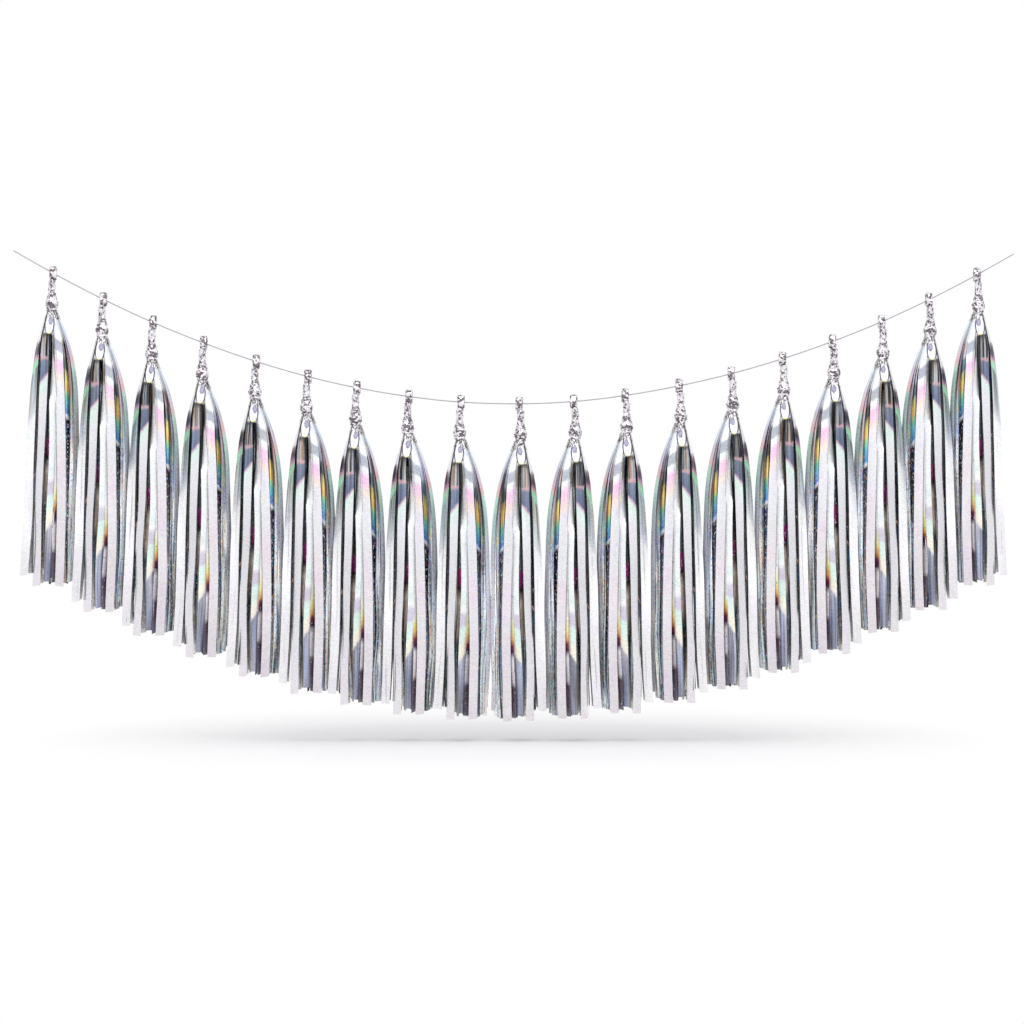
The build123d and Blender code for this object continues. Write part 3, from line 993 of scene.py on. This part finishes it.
def make_camera():
    """The photograph's camera, which shows the string's left end at its pixel."""
    camera = bpy.data.cameras.new("camera")
    camera.sensor_width = SENSOR_WIDTH
    camera.lens = SENSOR_WIDTH * CAMERA_DISTANCE / (PHOTO_SIDE * PIXEL)
    made = placed("camera", camera)
    across, down = [(PHOTO_SIDE / 2 - place) * PIXEL for place in LEFT_END_PIXEL]
    aim = Vector((across, 0, -down))
    back = Vector((0, -math.cos(CAMERA_ELEVATION), math.sin(CAMERA_ELEVATION)))
    made.location = aim + back * CAMERA_DISTANCE
    made.rotation_euler = (-back).to_track_quat("-Z", "Y").to_euler()
    bpy.context.scene.camera = made


def string_twine():
    """The string, smooth from end to end, with both ends cut off bare as in the photograph."""
    line = bpy.data.curves.new("string_twine", "CURVE")
    line.dimensions = "3D"
    line.bevel_depth = STRING_DIAMETER / 2
    line.bevel_resolution = 3
    line.use_fill_caps = True
    spline = line.splines.new("NURBS")
    spline.points.add(len(ROUTE_SHARES) - 1)
    for point, (across, drop) in zip(spline.points, ROUTE_SHARES):
        point.co = (NARROWEST_PITCH * across, 0, -SAG * drop, 1)
    spline.order_u = 3
    spline.use_endpoint_u = True
    line.materials.append(twine())
    made = shown("string_twine", line, "string", "twine", "string")


# The stage

WHITE = "ffffff"
WORLD_LIGHT = 0.86

# The floor lies under the lowest tips. It is a little faded everywhere, and fades to white over a span of
# the distance from its middle, in an ellipse with this scale.
FLOOR_TONE = "eaeaec"
FLOOR_HALF_SIDE = 3.0
FLOOR_GAP = 22 * MILLIMETRE
FADE_SCALE = (1.95, 2.4, 1.0)
FADE_SPAN = (0.5, 1.05)
FADE_LEAST = 0.1

# The lamps: each one's place, the place that it aims at, its size, and its power in watts
LAMPS = {
    "key": ((-0.6, -3.0, 0.8), (0.55, 0, -0.4), (1.8, 1.8), 13.5),
    "fill": ((1.7, -3.0, 0.6), (0.55, 0, -0.4), (1.8, 1.8), 11),
    "top": ((0.55, -0.5, 1.7), (0.55, 0, -0.5), (2.0, 2.4), 20),
}


def seen_rays(tree):
    """1 for a ray that looks at the background, straight, mirrored or through something clear."""
    path = add(tree, "ShaderNodeLightPath").outputs
    mirrored = maths(tree, "MAXIMUM", path["Is Camera Ray"], path["Is Glossy Ray"])
    return maths(tree, "MAXIMUM", mirrored, path["Is Transmission Ray"])


def make_world():
    """Even light from all round, in front of a white background."""
    world = bpy.data.worlds.new("studio")
    world.use_nodes = True
    tree = world.node_tree
    tree.nodes.clear()
    light = add(tree, "ShaderNodeBackground", Color=linear(WHITE), Strength=WORLD_LIGHT).outputs[0]
    white = add(tree, "ShaderNodeBackground", Color=linear(WHITE), Strength=1.0).outputs[0]
    both = add(tree, "ShaderNodeMixShader", _0=seen_rays(tree), _1=light, _2=white).outputs[0]
    add(tree, "ShaderNodeOutputWorld", Surface=both)
    bpy.context.scene.world = world


def make_floor():
    """A pale floor just under the longest tassel, which fades into the background round its shadow."""
    low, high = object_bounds()
    middle = (low + high) / 2
    mesh = bpy.data.meshes.new("floor")
    corners = [(-1, -1), (1, -1), (1, 1), (-1, 1)]
    points = [(x * FLOOR_HALF_SIDE, y * FLOOR_HALF_SIDE, 0) for x, y in corners]
    mesh.from_pydata(points, [], [(0, 1, 2, 3)])
    made, tree, shader = material("floor")
    fill(tree, shader, Base_Color=linear(FLOOR_TONE), Roughness=0.9, Specular_IOR_Level=0.0)
    places = add(tree, "ShaderNodeTexCoord").outputs["Object"]
    squeezed = add(tree, "ShaderNodeMapping", Vector=places, Scale=FADE_SCALE).outputs[0]
    distance = add(tree, "ShaderNodeVectorMath", {"operation": "LENGTH"}, _0=squeezed).outputs["Value"]
    fade = maths(tree, "MULTIPLY", ranged(tree, distance, *FADE_SPAN, FADE_LEAST, 1.0), seen_rays(tree))
    white = add(tree, "ShaderNodeEmission", Color=linear(WHITE), Strength=1.0).outputs[0]
    both = add(tree, "ShaderNodeMixShader", _0=fade, _1=shader.outputs[0], _2=white).outputs[0]
    fill(tree, tree.nodes["Material Output"], Surface=both)
    mesh.materials.append(made)
    floor = placed("floor", mesh)
    floor.location = (middle.x, middle.y, low.z - FLOOR_GAP)


def make_lamp(name, place, aim, size, power):
    """A large soft lamp."""
    lamp = bpy.data.lights.new(name, "AREA")
    lamp.shape = "RECTANGLE"
    lamp.size, lamp.size_y = size
    lamp.energy = power
    made = placed(name, lamp)
    made.location = place
    made.rotation_euler = (Vector(aim) - Vector(place)).to_track_quat("-Z", "Y").to_euler()


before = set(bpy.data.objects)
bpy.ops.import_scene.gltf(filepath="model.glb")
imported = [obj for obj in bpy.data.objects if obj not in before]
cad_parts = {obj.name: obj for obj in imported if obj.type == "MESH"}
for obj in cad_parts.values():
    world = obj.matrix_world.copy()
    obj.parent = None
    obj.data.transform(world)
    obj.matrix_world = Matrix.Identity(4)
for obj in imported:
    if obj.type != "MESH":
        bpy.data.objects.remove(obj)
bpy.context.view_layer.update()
make_camera()
string_twine()

materials = {name: film(name, *looks) for name, looks in FILMS.items()}
materials["petal"] = petal_film()
materials["crinkled_foil"] = crinkled_foil()

for tassel in range(1, TASSEL_COUNT + 1):
    make_tassel(tassel)

make_world()
make_floor()
bpy.context.scene.view_settings.view_transform = "Standard"
for lamp_name, lamp_looks in LAMPS.items():
    make_lamp(lamp_name, *lamp_looks)
